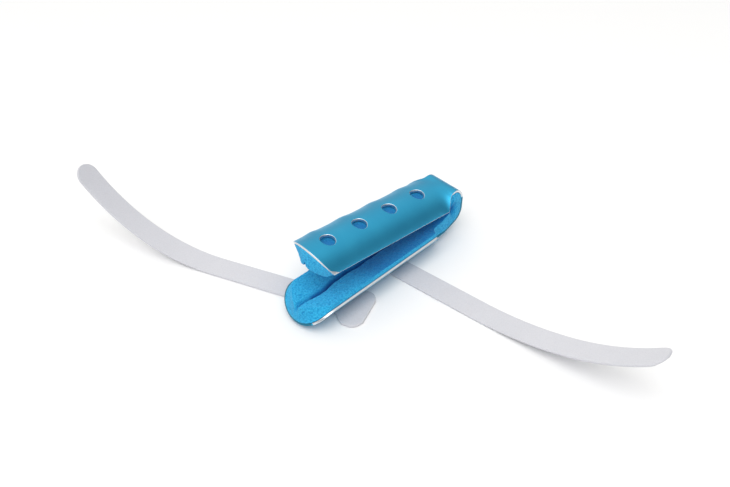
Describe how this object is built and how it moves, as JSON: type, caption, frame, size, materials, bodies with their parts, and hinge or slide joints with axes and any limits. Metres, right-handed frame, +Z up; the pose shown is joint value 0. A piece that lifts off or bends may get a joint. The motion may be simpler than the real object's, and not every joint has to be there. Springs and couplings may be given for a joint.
{
  "type": "finger splint",
  "caption": "Fold-over finger splint: a thin metal strip lined with foam, folded over the fingertip, lying on its two hook-and-loop straps.",
  "frame": {"origin": "on the surface that the splint lies on, below the middle of its bounding box", "axes": "+X along the splint from its rounded end to its fold, +Y across it, along the free straps, +Z up"},
  "size_m": [0.1046, 0.2, 0.0313],
  "materials": {
    "metal": "blue anodised, bare on its cut edges",
    "foam": "matt open-cell foam",
    "strap": "matt, fine looped pile"
  },
  "bodies": {
    "root": {"metal_strip": "metal", "foam_lining": "foam", "end_strap": "strap", "middle_strap": "strap"}
  },
  "joints": []
}
